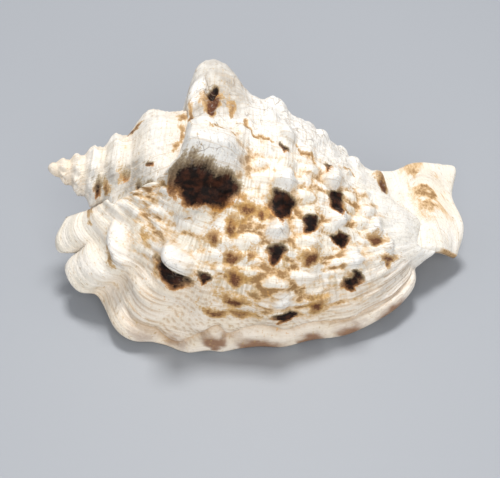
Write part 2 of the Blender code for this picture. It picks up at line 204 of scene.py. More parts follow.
# Brown marks, lighter than the stains, in the same terms
MARKS = [
    (39, 93, 2.2, 1, 1), (53.8, 92, 1.3, 1.2, 1), (50.8, 75, 1.4, 1.1, 1), (64.9, 67, 1.6, 0.9, 1),
    (67.6, 77, 1.6, 0.8, 1), (36, 67, 0.7, 1.6, 0.9), (33.7, 73, 0.9, 1.2, 0.9), (33.5, 59, 0.8, 0.6, 0.9),
    (38.2, 59, 1.5, 1.4, 0.9), (41, 59, 0.9, 1, 0.9), (36.9, 78, 1.2, 1.1, 0.9), (40, 76, 0.9, 1, 0.8),
    (38.3, 85, 1.4, 0.9, 1), (35.8, 100, 1.8, 0.8, 0.9), (40.5, 98, 2, 0.7, 0.8), (21.7, 86, 0.9, 0.8, 0.45),
    (10.1, 112, 0.8, 1.2, 0.45), (16, 109, 1.2, 0.6, 0.45), (35, -98, 1.6, 1.2, 0.9),
    (34, -70, 1.2, 1.2, 0.8), (58, -80, 1.2, 1, 0.9), (48, -112, 1.4, 1.2, 0.9), (40, -130, 1.6, 1.3, 0.9),
    (66.9, 6, 1.1, 1.8, 1.1), (30.2, -5, 1.3, 3.2, 1.5), (33.6, -2, 0.5, 3.2, 0.6), (26.4, 3, 0.3, 4.2, 0.8),
]
# Rosy blotches of the rim, towards its underside; their rosy brown is darkened with painted shade
BLOTCHES = [
    (36.7, 112, 2.2, 1.6, 1), (45.6, 112, 4, 1.8, 1), (55.1, 108.5, 2.4, 1.8, 1), (62.3, 105.5, 2.4, 1.8, 1),
    (70.2, 101.5, 2.6, 1.6, 1), (24, 118, 2.6, 1.4, 0.5), (30, 117, 2.6, 1.2, 0.5),
]
# Pits and holes: distance along the axis, angle, half length along and around, depth
PITS = [
    (30.2, -20.5, 0.9, 2.5, 1.5), (30.1, -4, 0.9, 2.6, 0.6), (31.5, 35.5, 0.32, 0.45, 0.7),
    (34.2, 35.5, 0.28, 0.4, 0.6), (28.5, -30, 0.25, 0.35, 0.4), (27.3, 88.5, 2.6, 1.6, 0.5),
    (44.3, 53, 1.8, 2.6, 0.5), (55, 46, 1.5, 2.2, 0.5), (56.7, 66, 1.4, 1.2, 0.4), (60.4, 83, 1.8, 1.1, 0.4),
    (44.7, 73, 1.5, 1.3, 0.4), (43.6, 22, 0.9, 0.8, 0.4),
]
# Cracks, each a line of points (distance along the axis, angle)
CRACKS = [
    [(34.2, 13), (35.4, 12), (36.4, 15), (37.2, 14.5), (37.9, 19)], [(37.9, 19), (39.5, 17.5), (41, 20)],
    [(36.4, 15), (36.2, 9)], [(46, 16), (47.6, 20), (49, 19), (50.2, 23)],
    [(29, 22), (31.5, 20.5), (33.8, 24)], [(57, 14), (58.6, 12), (59.8, 15)],
]
CRACK_WIDTH = 0.22
CRACK_DEPTH = 0.35
# Radius at which the cracks' points are laid out
CRACK_RADIUS = 20.0
# Broken plate on the older horn: its place along the axis and around it, thickness and raggedness
PLATE_ALONG = (25.4, 29.3)
PLATE_AROUND = (-36.0, -9.0)
PLATE_THICKNESS = 0.75
PLATE_RAGGED = 0.8
# Rounded swelling behind the younger horn's crest: place along the axis and around it, height and reach
SWELLING = (28.9, 17.0, 1.7, 2.3)
# Greyish, mottled face of the older horn: place along the axis and around it, half length along, half angle
GREY_FACE = (31.5, -22.0, 6.0, 26.0)
# White cap along the younger horn's crest and olive-grey patch of the spire, in the same terms
WHITE_CAP = (30.5, 34.0, 6.0, 8.0)
SPIRE_GREY = (15.6, 52.0, 4.2, 26.0)
# Dark stains and brown marks of the older whorls, in the same terms as those of the last whorl
SPIRE_STAINS = [
    (10.5, 80, 0.6, 1.9, 0.9), (15.2, 84, 0.35, 1.6, 0.8), (15.4, 49, 0.8, 1.5, 0.45),
    (18.4, 61, 0.5, 1.6, 0.8), (19.8, 57, 0.4, 1.2, 0.8), (19.5, 38, 0.35, 0.35, 1),
]
SPIRE_MARKS = [
    (15, -27, 0.25, 1.6, 1.2), (15.8, -22, 0.25, 1.7, 1.2), (16.6, -18, 0.25, 1.5, 1.1),
    (14.6, 50, 0.7, 1.5, 0.4), (23.8, 24, 0.5, 1, 0.8), (24.6, 14, 0.4, 2.2, 0.8), (24.5, -8, 0.8, 1.5, 0.7),
    (12.3, 70, 0.8, 1, 0.7),
]

# Spout: back edge, crest, middle, front and front edge, each from the body out to the end (x, y, z)
SPOUT_LINES = [
    [(21.0, 1.5, 8.5), (29.0, 2.5, 5.5), (36.0, 4.5, 5.5), (42.0, 8.0, 9.0)],
    [(22.0, 2.0, 16.5), (30.0, 5.0, 14.5), (36.0, 5.5, 16.5), (43.9, 5.3, 15.2)],
    [(24.0, -4.0, 16.5), (32.0, -1.0, 12.5), (38.0, 0.5, 12.8), (42.9, 1.2, 11.3)],
    [(26.0, -8.5, 12.0), (33.0, -7.2, 10.6), (38.8, -5.6, 9.6), (44.9, -4.0, 7.4)],
    [(26.5, -12.0, 8.0), (32.8, -12.6, 8.4), (38.6, -11.6, 7.2), (42.8, -8.5, 2.8)],
]
# Half of its thickness, how its border is rounded, how high its end rolls over, and its net
HALF_SPOUT = 0.9
SPOUT_ROUNDING = 1.0
END_ROLL = 0.35
SPOUT_ROWS = 90
SPOUT_COLUMNS = 120

# Net of the spire and the pillar
TIP_ROWS = 8
SPIRE_ROWS = 190
PILLAR_ROWS = 10
SPIRE_COLUMNS = 300

# Distances within which the points of a closed piece are one
SHEET_WELD = 0.002
RING_WELD = 0.0005

# Uneven relief and patches, each a sum of noises: height, width across the cords, length along them, seed
NOISES = {
    "knob along": [(0.35, 1.6, 1.6, 31)],
    "knob around": [(0.35, 1.6, 1.6, 32)],
    "spot along": [(0.7, 1.7, 1.7, 21), (0.3, 0.6, 0.9, 22)],
    "spot around": [(0.7, 1.7, 1.7, 23), (0.3, 0.6, 0.9, 24)],
    "plate edge": [(1.0, 1.3, 1.3, 41), (0.5, 0.6, 0.6, 42)],
    "crack along": [(0.35, 0.9, 0.9, 61)],
    "crack around": [(0.35, 0.9, 0.9, 62)],
    "block sway": [(0.5, 6.0, 5.0, 3)],
    "cord sway": [(0.2, 2.0, 4.0, 6)],
    "growth lines": [(1.0, 14.0, 0.55, 7), (0.6, 9.0, 0.30, 9)],
    "layer sway": [(0.7, 10.0, 4.0, 8), (0.25, 3.0, 1.5, 10)],
    "lumps": [(0.60, 4.5, 4.0, 33), (0.22, 1.8, 1.8, 34)],
    "worn grains": [(0.16, 0.8, 0.8, 35), (0.10, 1.3, 1.3, 36)],
    "whorl patches": [(0.65, 5.5, 4.5, 51), (0.45, 2.2, 1.8, 52)],
    "spire lines": [(1.0, 3.0, 0.5, 11), (0.6, 5.0, 0.25, 12)],
    "spire grains": [(1.0, 0.7, 0.8, 14)],
    "spire patches": [(0.6, 2.4, 2.0, 15), (0.5, 0.9, 0.8, 25)],
    "spire specks": [(1.0, 0.35, 0.35, 26)],
    "spire lots": [(0.5, 2.2, 1.6, 16)],
    "spout relief": [(0.10, 1.1, 7.0, 13), (0.08, 4.0, 0.8, 17), (0.25, 3.5, 5.0, 18)],
    "spout patches": [(0.6, 2.4, 2.2, 19), (0.5, 1.0, 0.9, 24)],
    "spout lots": [(0.5, 2.0, 2.0, 20)],
}
# Side of the random tables that noises and blocks are read from, and a distance beyond any in them
TABLE_SIDE = 128
FAR = 9.0

# What the material reads at each point of a piece
READINGS = (
    "cord", "growth", "stain_and_shade", "foot", "mark", "blotch", "gap", "lot", "woven", "chalk", "grey", "tan",
    "layer", "smooth",
)


# Curves and directions

def smooth_step(value, low, high):
    """0 below low and 1 above high, with a soft ramp between."""
    t = np.clip((value - low) / (high - low), 0.0, 1.0)
    return t * t * (3.0 - 2.0 * t)


def fade(value, low, high):
    """1 below low and 0 above high, with a soft ramp between."""
    return 1.0 - smooth_step(value, low, high)


def hermite(knots, values, at):
    """Cubic through values at knots, read at the places in at."""
    slopes = np.gradient(values, knots, axis=0)
    at = np.asarray(at, float)
    i = np.clip(np.searchsorted(knots, at, side="right") - 1, 0, len(knots) - 2)
    shape = at.shape + (1,) * (values.ndim - 1)
    step = (knots[i + 1] - knots[i]).reshape(shape)
    t = (at - knots[i]).reshape(shape) / step
    start = values[i] * (1 + 2 * t) * (1 - t) ** 2 + slopes[i] * step * t * (1 - t) ** 2
    end = values[i + 1] * t * t * (3 - 2 * t) - slopes[i + 1] * step * t * t * (1 - t)
    return start + end


def smooth_curve(points, at):
    """Smooth curve through points, whose first number is the place along it."""
    table = np.array(points, float)
    knots = table[:, 0]
    values = table[:, 1:]
    curve = hermite(knots, values, np.clip(at, knots[0], knots[-1]))
    return curve[..., 0] if values.shape[1] == 1 else curve


def axis_frame():
    """Unit vectors along the coil axis, towards the back and up, square to each other."""
    along = np.array([
        np.cos(AXIS_SINK) * np.cos(AXIS_SWING),
        np.cos(AXIS_SINK) * np.sin(AXIS_SWING),
        -np.sin(AXIS_SINK),
    ])
    back = np.array([-np.sin(AXIS_SWING), np.cos(AXIS_SWING), 0.0])
    return along, back, np.cross(along, back)


ALONG, BACK, UP = axis_frame()


def coil_point(distance, degrees, radius):
    """Point at a distance along the axis, an angle around it and a radius from it."""
    distance, degrees, radius = np.broadcast_arrays(distance, degrees, radius)
    turn = np.radians(degrees)[..., None]
    outward = -np.sin(turn) * BACK + np.cos(turn) * UP
    return APEX + distance[..., None] * ALONG + radius[..., None] * outward


def coil_offset(points):
    """Distance along the coil axis, radius and unwrapped angle of each point, and its outward direction."""
    offset = points - APEX
    distance = offset @ ALONG
    across = offset - distance[..., None] * ALONG
    radius = np.linalg.norm(across, axis=-1)
    turn = np.unwrap(np.arctan2(-(across @ BACK), across @ UP), axis=1)
    degrees = np.degrees(turn)
    degrees = degrees - 360.0 * np.round((degrees[:, :1] - WHORL_START) / 360.0)
    return distance, radius, degrees, across / np.maximum(radius[..., None], 1e-6)


def grid_normals(grid):
    """Outward unit normals of a grid of points."""
    normal = np.cross(np.gradient(grid, axis=1), np.gradient(grid, axis=0))
    return normal / np.maximum(np.linalg.norm(normal, axis=-1, keepdims=True), 1e-9)


def cumulative_length(grid, axis):
    """Length along the grid lines from the first row or column to each point."""
    steps = np.linalg.norm(np.diff(grid, axis=axis), axis=-1)
    zero = np.zeros_like(np.take(steps, [0], axis=axis))
    return np.concatenate([zero, np.cumsum(steps, axis=axis)], axis=axis)


def rounded_edge(distance, width):
    """0 at an edge, rising like a quarter circle to 1 at the width."""
    t = np.clip(distance / width, 0.0, 1.0)
    return np.sqrt(np.maximum(1.0 - (1.0 - t) ** 2, 0.0))


def edge_factor(grid, width):
    """Rounding factor of a sheet: 0 on its four borders, 1 at more than the width from them."""
    factor = np.ones(grid.shape[:2])
    for axis in (0, 1):
        along = cumulative_length(grid, axis)
        total = np.take(along, [-1], axis=axis)
        factor = factor * rounded_edge(along, width) * rounded_edge(total - along, width)
    return factor


def bump(reach, power):
    """Rounded bump: 1 at the middle, about a third at 1 and 0 far out. A high power is flatter."""
    return np.exp(-np.abs(reach) ** power)


def speckle(x, y, seed):
    """Smooth noise between -1 and 1 that changes over about one unit of x and y."""
    table = np.random.default_rng(seed).uniform(-1.0, 1.0, (TABLE_SIDE, TABLE_SIDE))
    column = np.floor(x).astype(int)
    row = np.floor(y).astype(int)
    across = smooth_step(x - column, 0.0, 1.0)
    up = smooth_step(y - row, 0.0, 1.0)
    corners = [[table[(row + j) % TABLE_SIDE, (column + i) % TABLE_SIDE] for i in (0, 1)] for j in (0, 1)]
    low = corners[0][0] * (1 - across) + corners[0][1] * across
    high = corners[1][0] * (1 - across) + corners[1][1] * across
    return low * (1 - up) + high * up


def uneven(name, across, along, start=0.0):
    """Sum of the noises of that name at each point, added to the start."""
    total = start
    for height, wide, long, seed in NOISES[name]:
        total = total + height * speckle(across / wide, along / long, seed)
    return total


def cells(x, y, jitter, seed):
    """Random net of blocks about one unit wide: distance from each point to the block's edge, and its lot."""
    table = np.random.default_rng(seed).uniform(0.0, 1.0, (3, TABLE_SIDE, TABLE_SIDE))
    column = np.floor(x).astype(int)
    row = np.floor(y).astype(int)
    nearest = np.full(x.shape, FAR)
    second = np.full(x.shape, FAR)
    lot = np.zeros(x.shape)
    for i in (-1, 0, 1):
        for j in (-1, 0, 1):
            side, up, luck = table[:, (row + j) % TABLE_SIDE, (column + i) % TABLE_SIDE]
            over = column + i + 0.5 + jitter * (side - 0.5) - x
            away = np.hypot(over, row + j + 0.5 + jitter * (up - 0.5) - y)
            second = np.minimum(second, np.maximum(nearest, away))
            lot = np.where(away < nearest, luck, lot)
            nearest = np.minimum(nearest, away)
    return second - nearest, lot


def border_spacing(count, power=1.6):
    """Places from 0 to 1, closer together at both ends."""
    t = np.linspace(-1.0, 1.0, count + 1)
    return 0.5 + 0.5 * np.sign(t) * (1.0 - (1.0 - np.abs(t)) ** power)


# The last whorl and the lip

def body_guide(place, degrees):
    """Middle of the wall of the last whorl, before it leaves the coil."""
    seam = smooth_curve(SEAM_LINE, degrees)
    front = smooth_curve(FRONT_LINE, degrees)
    taper = 1.0 - FRONT_TAPER * smooth_step(place, 0.55, 1.0) * fade(degrees, -150.0, -60.0)
    radius = smooth_curve(GROWTH_LINE, degrees) * smooth_curve(WHORL_PROFILE, place) * taper
    return coil_point(seam + (front - seam) * place, degrees, radius)


def whorl_guide(places, turns):
    """Middle of the wall of the last whorl and lip. Turns run -1 to 0 round the body, 0 to 1 on the lip."""
    grid = np.zeros((len(places), len(turns), 3))
    on_body = turns <= 0
    angles = WHORL_END + (WHORL_END - WHORL_START) * turns[on_body]
    place, degrees = np.meshgrid(places, angles, indexing="ij")
    grid[:, on_body] = body_guide(place, degrees)
    lines = [body_guide(places, np.full_like(places, WHORL_END - back)) for back in (50.0, 25.0, 0.0)]
    lines += [smooth_curve(LIP_MIDDLE, places), smooth_curve(LIP_EDGE, places)]
    steps = [np.linalg.norm(b - a, axis=1).mean() for a, b in zip(lines, lines[1:])]
    knots = np.concatenate([[0.0], np.cumsum(steps)])
    knots = (knots - knots[2]) / (knots[4] - knots[2])
    lip = hermite(knots, np.stack(lines), turns[~on_body])
    grid[:, ~on_body] = lip.transpose(1, 0, 2)
    for at, width, inwards in NOTCHES:
        share = np.outer(np.exp(-(((places - at) / width) ** 2)), smooth_step(turns, 0.74, 1.0))
        grid += share[..., None] * np.array(inwards)
    return grid


def whorl_turns():
    """Columns of the last whorl: wide apart at the hidden back, closer on top, and closest at the rim."""
    back = np.linspace(-1.0, BACK_UNTIL, BACK_COLUMNS + 1)
    top = np.linspace(BACK_UNTIL, 0.0, TOP_COLUMNS + 1)[1:]
    lip = np.linspace(0.0, 1.0, LIP_COLUMNS + 1)[1:]
    return np.concatenate([back, top, 1.0 - (1.0 - lip) ** 1.3])


def bead(reach):
    """Half ball with a soft foot: 1 at the middle and 0 at a reach of 1 and beyond."""
    return np.maximum(1.0 - reach ** 2, 0.0) ** 0.8


def knob_push(distance, radius, degrees):
    """How far horns and knobs push each point of the last whorl out from the coil axis."""
    push = np.zeros(distance.shape)
    arc = radius * np.radians(degrees)
    uneven_along = uneven("knob along", distance, arc)
    uneven_around = uneven("knob around", distance, arc)
    crisp = 0.15 + 0.45 * smooth_step(degrees, 0.0, 35.0)
    for at, angle, height, reach in KNOBS:
        along = (distance + uneven_along - at) / reach
        around = (radius * np.radians(degrees - angle) + uneven_around) / reach
        around = around / np.where(around < 0, 1.0, KNOB_LEE)
        away = np.hypot(along, around)
        push = np.maximum(push, height * ((1.0 - crisp) * bump(away, 2.0) + 1.7 * crisp * bead(away / 0.9)))
    for at, angle, height, to_spire, to_spout, to_back, to_lip in HORNS:
        along = distance - at
        around = radius * np.radians(degrees - angle)
        crest = height * (1.0 - CREST_FALL * np.clip(along, 0.0, to_spout))
        fall = np.where(along < 0, bump(along / to_spire, 3.5), bump(along / to_spout, 5.0))
        around = around / np.where(around < 0, to_back, to_lip)
        face = 0.92 * bump(around, 2.3) + HORN_KEEL * bump(around / 0.22, 2.0)
        push = np.maximum(push, crest * fall * face)
    at, angle, height, reach = SWELLING
    away = np.hypot(distance - at, radius * np.radians(degrees - angle)) / reach
    return push + height * bead(away)


def uneven_reach(spot, distance, radius, degrees, sway, wedge):
    """How far each point lies from a spot's middle, in spot sizes and with an uneven outline, and how low."""
    at, angle, along_half, around_half = spot
    arc = radius * np.radians(degrees)
    low = (radius * np.radians(degrees - angle) + sway * uneven("spot around", distance, arc)) / around_half
    along = distance + sway * uneven("spot along", distance, arc) - at
    along = along / (along_half * (1.0 - wedge * np.clip(low, -1.0, 1.0)))
    return np.hypot(along, low), low


def blotches(spots, distance, radius, degrees, wedge=0.30, crisp=0.0):
    """Strength of the spots at each point, and how low in its spot the point lies: 0 at the top, 1 below."""
    field = np.zeros(distance.shape)
    foot = np.zeros(distance.shape)
    for *spot, strength in spots:
        reach, low = uneven_reach(spot, distance, radius, degrees, 0.8, wedge)
        fall = 3.0 + 1.2 * np.clip(low, -1.0, 1.0) + crisp * smooth_step(-low, 0.0, 0.6)
        one = strength * np.exp(-0.7 * reach ** fall)
        # The foot later picks a stain's colour: grey-brown painted shade near 0 at the top, the stain's own
        # orange and brown near 1
        foot = np.where(one > field, smooth_step(low, -0.7, 0.6), foot)
        field = np.maximum(field, one)
    return field, foot


def pit_depth(distance, radius, degrees):
    """Depth of the pits, and of the hollows under the knobs."""
    depth = np.zeros(distance.shape)
    for *spot, deep in PITS:
        reach = uneven_reach(spot, distance, radius, degrees, 0.35 * min(1.0, spot[3]), 0.30)[0]
        depth = np.maximum(depth, deep * bump(reach, 3.0))
    return depth


def plate_rise(distance, radius, degrees):
    """Height of the broken outer plate on the older horn, with ragged edges."""
    arc = radius * np.radians(degrees)
    ragged = PLATE_RAGGED * uneven("plate edge", distance, arc)
    end = smooth_step(PLATE_ALONG[1] + ragged - distance, 0.0, 0.35)
    foot = smooth_step(radius * np.radians(PLATE_AROUND[1] - degrees) + ragged, 0.0, 0.4)
    top = smooth_step(radius * np.radians(degrees - PLATE_AROUND[0]), 0.0, 2.5)
    return PLATE_THICKNESS * end * foot * top


def crack_share(distance, radius, degrees):
    """1 in the cracks and 0 off them."""
    arc = radius * np.radians(degrees)
    along = uneven("crack along", distance, arc, distance)
    around = uneven("crack around", distance, arc, arc)
    near = np.full(distance.shape, FAR)
    for crack in CRACKS:
        for (start, first), (end, last) in zip(crack, crack[1:]):
            low = radius * np.radians(first)
            step = np.array([end - start, CRACK_RADIUS * np.radians(last - first)])
            share = ((along - start) * step[0] + (around - low) * step[1]) / (step @ step)
            share = np.clip(share, 0.0, 1.0)
            near = np.minimum(near, np.hypot(along - start - share * step[0], around - low - share * step[1]))
    return bump(near / CRACK_WIDTH, 2.0)


def face_share(face, distance, degrees):
    """1 on a face of a horn and 0 off it."""
    at, angle, along_half, half_angle = face
    return bump((distance - at) / along_half, 4.0) * bump((degrees - angle) / half_angle, 4.0)


def knob_tops(distance, radius, degrees):
    """1 on the tops of the knobs, which are worn white, and 0 off them."""
    tops = np.zeros(distance.shape)
    for at, angle, _, reach in KNOBS:
        around = radius * np.radians(degrees - angle)
        tops = np.maximum(tops, bump(np.hypot(distance - at, around) / (0.75 * reach), 3.0))
    return tops


def blocks(cord, growth):
    """Where growth breaks the cords into blocks: distance from the block's edge, and its lot."""
    sway = uneven("block sway", cord, growth)
    return cells((cord + sway) / BLOCK_WIDTH, (growth + sway) / BLOCK_LENGTH, 0.75, 5)


def cord_relief(cord, growth, edge, lot):
    """Height of the blocks on the cords, with fine cords over them."""
    raised = smooth_step(edge, -0.15, 0.80) * (0.35 + 0.65 * lot)
    fine = np.cos(2.0 * np.pi * uneven("cord sway", cord, growth, cord) / FINE_CORD)
    return BLOCK_HEIGHT * raised + CORD_HEIGHT * fine


def rib_relief(cord, degrees):
    """Height of the rounded ribs along the rows of knobs."""
    ribs = sum(np.exp(-(((cord - row) / 1.7) ** 2)) for row in RIBS)
    return RIB_HEIGHT * ribs * smooth_step(degrees, -15.0, 35.0)


def growth_relief(cord, growth, late):
    """Height of the growth lines, which become layers where the growth is late, and where each layer ends."""
    step = uneven("layer sway", cord, growth, growth / LAYER_LENGTH)
    layers = 1.0 - (step - np.floor(step))
    ends = late * fade(layers, 0.05, 0.35)
    return LINE_HEIGHT * uneven("growth lines", cord, growth) + LAYER_HEIGHT * late * layers, ends


def rim_relief(line, turn, along_rim):
    """Roll of the rim with the crease above it."""
    crease = bump((turn - line) / 0.014, 2.0)
    swell = smooth_step(turn, line - 0.005, line + 0.05)
    return along_rim * (RIM_SWELL * swell - RIM_CREASE * crease), crease * along_rim, swell * along_rim


def whorl_net():
    """Middle of the last whorl's wall with the waves of its rim, and where each point lies on the shell."""
    places = border_spacing(WHORL_ROWS, 1.25)
    turns = whorl_turns()
    net = SimpleNamespace(grid=whorl_guide(places, turns))
    net.place, net.turn = np.meshgrid(places, turns, indexing="ij")
    net.line = smooth_curve(RIM_LINE, net.place)
    net.along_rim = smooth_step(net.place, 0.20, 0.30) * fade(net.place, 0.86, 0.92)
    ways_out = np.gradient(net.grid, axis=1)
    ways_out = ways_out / np.linalg.norm(ways_out, axis=-1, keepdims=True)
    wave = RIM_WAVE * np.clip(net.line - 0.87, -0.04, 0.015)
    shift = wave * smooth_step(net.turn, 0.70, 1.0) * net.along_rim
    net.grid = net.grid + ways_out * shift[..., None]
    distance, radius, degrees, net.outward = coil_offset(net.grid)
    net.coil = (distance, radius, degrees)
    fan = FAN * smooth_step(net.turn, 0.0, 1.0)
    net.cord = (distance + FAN_MIDDLE * fan) / (1.0 + fan)
    third = WHORL_ROWS // 3
    mid_row = cumulative_length(net.grid[third:third + 1], 1)[0]
    net.growth = np.broadcast_to(mid_row - np.interp(0.0, turns, mid_row), net.cord.shape)
    return net


def add_whorl_areas(net):
    """Adds the share that each point has in each area of the last whorl."""
    place = net.place
    turn = net.turn
    degrees = net.coil[2]
    net.factor = edge_factor(net.grid, WALL_ROUNDING)
    net.inland = smooth_step(net.factor, 0.0, 1.0)
    net.lobe = smooth_step(turn, 0.3, 0.8) * fade(place, 0.1, 0.3)
    net.front = smooth_step(place, 0.70, 0.86)
    net.near_front = smooth_step(place, 0.88, 1.0)
    net.to_fold = smooth_step(turn, 0.15, 0.60)
    net.tops = knob_tops(*net.coil)
    net.top_side = smooth_step(degrees, -110.0, -60.0) * fade(degrees, -10.0, 48.0)
    net.push = knob_push(*net.coil) * net.inland
    net.horns = smooth_step(net.push, 2.5, 5.0)
    until = 0.58 + 0.10 * smooth_step(place, 0.32, 0.48)
    woven = fade(turn, until, until + 0.18)
    net.woven = woven * (1.0 - 0.8 * net.lobe) * (1.0 - 0.9 * net.tops) * (1.0 - 0.85 * net.front)
    net.edge, net.lot = blocks(net.cord, net.growth)
    net.folds = smooth_curve(WING_FOLDS, place) * smooth_step(turn, 0.35, 0.95)
    net.cracks = crack_share(*net.coil)


def whorl_relief(net):
    """Height of the relief on the last whorl; adds its rim, its growth layers and their ends."""
    place = net.place
    turn = net.turn
    roll, net.crease, net.swell = rim_relief(net.line, turn, net.along_rim)
    late = smooth_step(turn, 0.42, 0.70) * (1.0 - net.swell) * (1.0 - 0.75 * net.lobe)
    net.late = late * fade(place, 0.86, 0.94)
    wave = (net.line - 0.86) * LINE_WAVE * smooth_step(turn, 0.45, 0.85) * (place > 0.2)
    lines, net.layer = growth_relief(net.cord, net.growth - wave, net.late)
    bricks = net.woven * (1.0 - 0.80 * net.top_side) * (1.0 - 0.7 * net.horns)
    bricks = bricks * (1.0 - 0.4 * smooth_step(turn, 0.42, 0.60))
    plain = 1.0 - 0.8 * net.swell
    relief = cord_relief(net.cord, net.growth, net.edge, net.lot) * bricks + lines * plain + roll + net.folds
    ribs = rib_relief(net.cord, net.coil[2]) * fade(turn, 0.75, 0.9) * (1.0 - net.front)
    relief = relief + ribs
    relief = relief + uneven("lumps", net.cord, net.growth) * plain - pit_depth(*net.coil)
    relief = relief + plate_rise(*net.coil) - CRACK_DEPTH * net.cracks
    worn = np.maximum(net.top_side, 0.4 * net.tops)
    relief = relief + uneven("worn grains", net.cord, net.growth) * worn * (1.0 - 0.6 * net.front)
    return relief * (1.0 - 0.9 * smooth_step(place, 0.78, 0.94)) + FOLD_SWELL * net.near_front * net.to_fold


def whorl_sheets(net, relief):
    """Outer and inner sheet of the last whorl and lip, filled towards the axis at the hidden back."""
    place = net.place
    turn = net.turn
    normal = grid_normals(net.grid)
    rim = smooth_step(turn, 0.75, 1.0) * smooth_step(place, 0.2, 0.35) * fade(place, 0.8, 0.9)
    half = HALF_WALL + (HALF_RIM - HALF_WALL) * rim + (HALF_LOBE - HALF_WALL) * net.lobe
    wall = half * net.factor
    sink = FRONT_SINK * net.near_front * (1.0 - net.to_fold)
    on_lip = smooth_step(turn, 0.0, 0.25)[..., None]
    lift = net.outward * (1.0 - on_lip) + normal * on_lip
    outer = net.grid + normal * (wall + relief * net.inland)[..., None] + lift * (net.push - sink)[..., None]
    inner = net.grid - normal * wall[..., None] - lift * sink[..., None]
    body_degrees = WHORL_END + (WHORL_END - WHORL_START) * np.minimum(turn, 0.0)
    fill = fade(body_degrees, *SOLID_UNTIL) * net.inland
    on_axis = APEX + net.coil[0][..., None] * ALONG
    inner = inner + (on_axis + (net.grid - on_axis) * INNER_SHARE - inner) * fill[..., None]
    return outer, inner


def whorl_readings(net):
    """What the material reads at each point of the last whorl."""
    distance, radius, degrees = net.coil
    stain_and_shade, foot = blotches(STAINS, distance, radius, degrees, 0.50, 6.0)
    # Smoky stains: real dark stain low on the younger horn's face, and painted shade where they fade up under
    # its crest
    smoky_stain_and_shade, smoky_stain_and_shade_foot = blotches(SMOKY_STAINS_AND_SHADE, distance, radius, degrees, 0.30, 2.5)
    cap = face_share(WHITE_CAP, distance, degrees)
    plate = plate_rise(distance, radius, degrees) / PLATE_THICKNESS
    patches = uneven("whorl patches", net.cord, net.growth)
    hollows = fade(net.edge, 0.05, 0.75) * (0.35 + 0.65 * smooth_step(patches, -0.30, 0.40))
    white_top = net.top_side * (1.0 - net.front)
    white_front = [net.near_front * net.to_fold, 0.5 * net.front]
    return {
        "cord": net.cord,
        "growth": net.growth,
        "stain_and_shade": np.maximum(stain_and_shade, smoky_stain_and_shade),
        "foot": np.where(smoky_stain_and_shade > stain_and_shade, smoky_stain_and_shade_foot, foot),
        "mark": np.maximum(blotches(MARKS, distance, radius, degrees)[0], 0.75 * net.cracks),
        "blotch": blotches(BLOTCHES, distance, radius, degrees)[0],
        "gap": hollows * net.woven * (1.0 - net.horns) * (1.0 - net.top_side),
        "lot": net.lot,
        "woven": net.woven * (1.0 - net.horns),
        "chalk": np.maximum.reduce([net.tops, cap, white_top, plate, *white_front]),
        "grey": face_share(GREY_FACE, distance, degrees) * (1.0 - plate),
        # Tan in the valleys of the wing's folds is painted shade; the tan of late growth and of the rim's
        # roll is the shell's own colour
        "tan": np.clip(0.45 * net.late + 0.5 * np.maximum(-net.folds, 0.0) + 0.5 * net.swell, 0.0, 1.0),
        "layer": np.maximum(net.layer, net.crease ** 2),
        "smooth": np.maximum.reduce([net.swell, net.lobe, 0.8 * net.front]),
    }


def last_whorl():
    """Outer and inner sheet of the last whorl and lip, and what their material reads."""
    net = whorl_net()
    add_whorl_areas(net)
    outer, inner = whorl_sheets(net, whorl_relief(net))
    return outer, inner, whorl_readings(net)


# The spire and the pillar

def spire_radius(distance, degrees):
    """Radius of the older whorls, with a seam at each whole turn, knobs on the shoulder and a blunt tip."""
    turns = smooth_curve(SPIRE_TURNS, distance) - (degrees - SEAM_ANGLE) / 360.0
    part = np.where(turns < 0.0, turns - np.floor(turns), 1.0)
    worn = 1.0 - 0.5 * smooth_step(degrees, -20.0, 30.0)
    seam = (0.15 + 0.018 * distance) * worn * bump(np.minimum(part, 1.0 - part) / 0.12, 2.0)
    whorl = smooth_curve(SPIRE_SLOPE, distance) * (0.985 + 0.035 * np.cos(2.0 * np.pi * (part - 0.45)))
    row = (0.5 + 0.5 * np.cos(np.radians(degrees) * BEADS_A_TURN)) ** 0.8
    beads = (0.35 + 0.055 * distance) * bump((part - SHOULDER) / 0.25, 2.6) * row
    beads = beads * smooth_step(distance, 0.5, 3.0)
    blunt = 0.9 * np.exp(-distance / 3.5) * rounded_edge(distance, 1.1)
    return distance * whorl * smooth_step(distance, -0.5, 0.6) + beads - seam + blunt, part


def spire_readings(distance, degrees, radius, hidden, part):
    """What the material reads at each point of the older whorls, which are the pillar where hidden."""
    growth = np.radians(degrees) * distance * RING_GROWTH
    shown = (1.0 - hidden) * smooth_step(distance, 1.0, 8.0)
    reads = {name: np.zeros_like(distance) for name in READINGS}
    reads.update({"cord": distance, "growth": growth})
    reads["stain_and_shade"], reads["foot"] = blotches(SPIRE_STAINS, distance, radius, degrees)
    reads["mark"] = blotches(SPIRE_MARKS, distance, radius, degrees)[0]
    hollow = 0.5 - 0.5 * np.cos(2.0 * np.pi * (part - SHOULDER))
    reads["tan"] = np.clip(0.35 + 0.4 * fade(distance, 4.0, 9.0) - 0.2 * (1.0 - hollow), 0.0, 1.0)
    patches = uneven("spire patches", distance, growth)
    reads["gap"] = 0.5 * smooth_step(patches, 0.0, 0.7) * shown * hollow
    specks = uneven("spire specks", distance, growth)
    speckled = smooth_step(patches + 0.3 * hollow + 0.4 * specks, 0.05, 0.55)
    mottled = face_share(SPIRE_GREY, distance, degrees) * (0.6 + 0.8 * speckled)
    greyish = 0.8 * speckled * smooth_step(degrees, 5.0, 40.0) * smooth_step(distance, 8.0, 12.0)
    reads["grey"] = smooth_step(distance, 1.0, 6.0) * (1.0 - hidden) * np.maximum(greyish, mottled)
    reads["woven"] = 0.6 * shown
    reads["chalk"] = 0.5 * shown * (1.0 - hollow)
    reads["lot"] = uneven("spire lots", distance, growth, 0.5)
    return reads


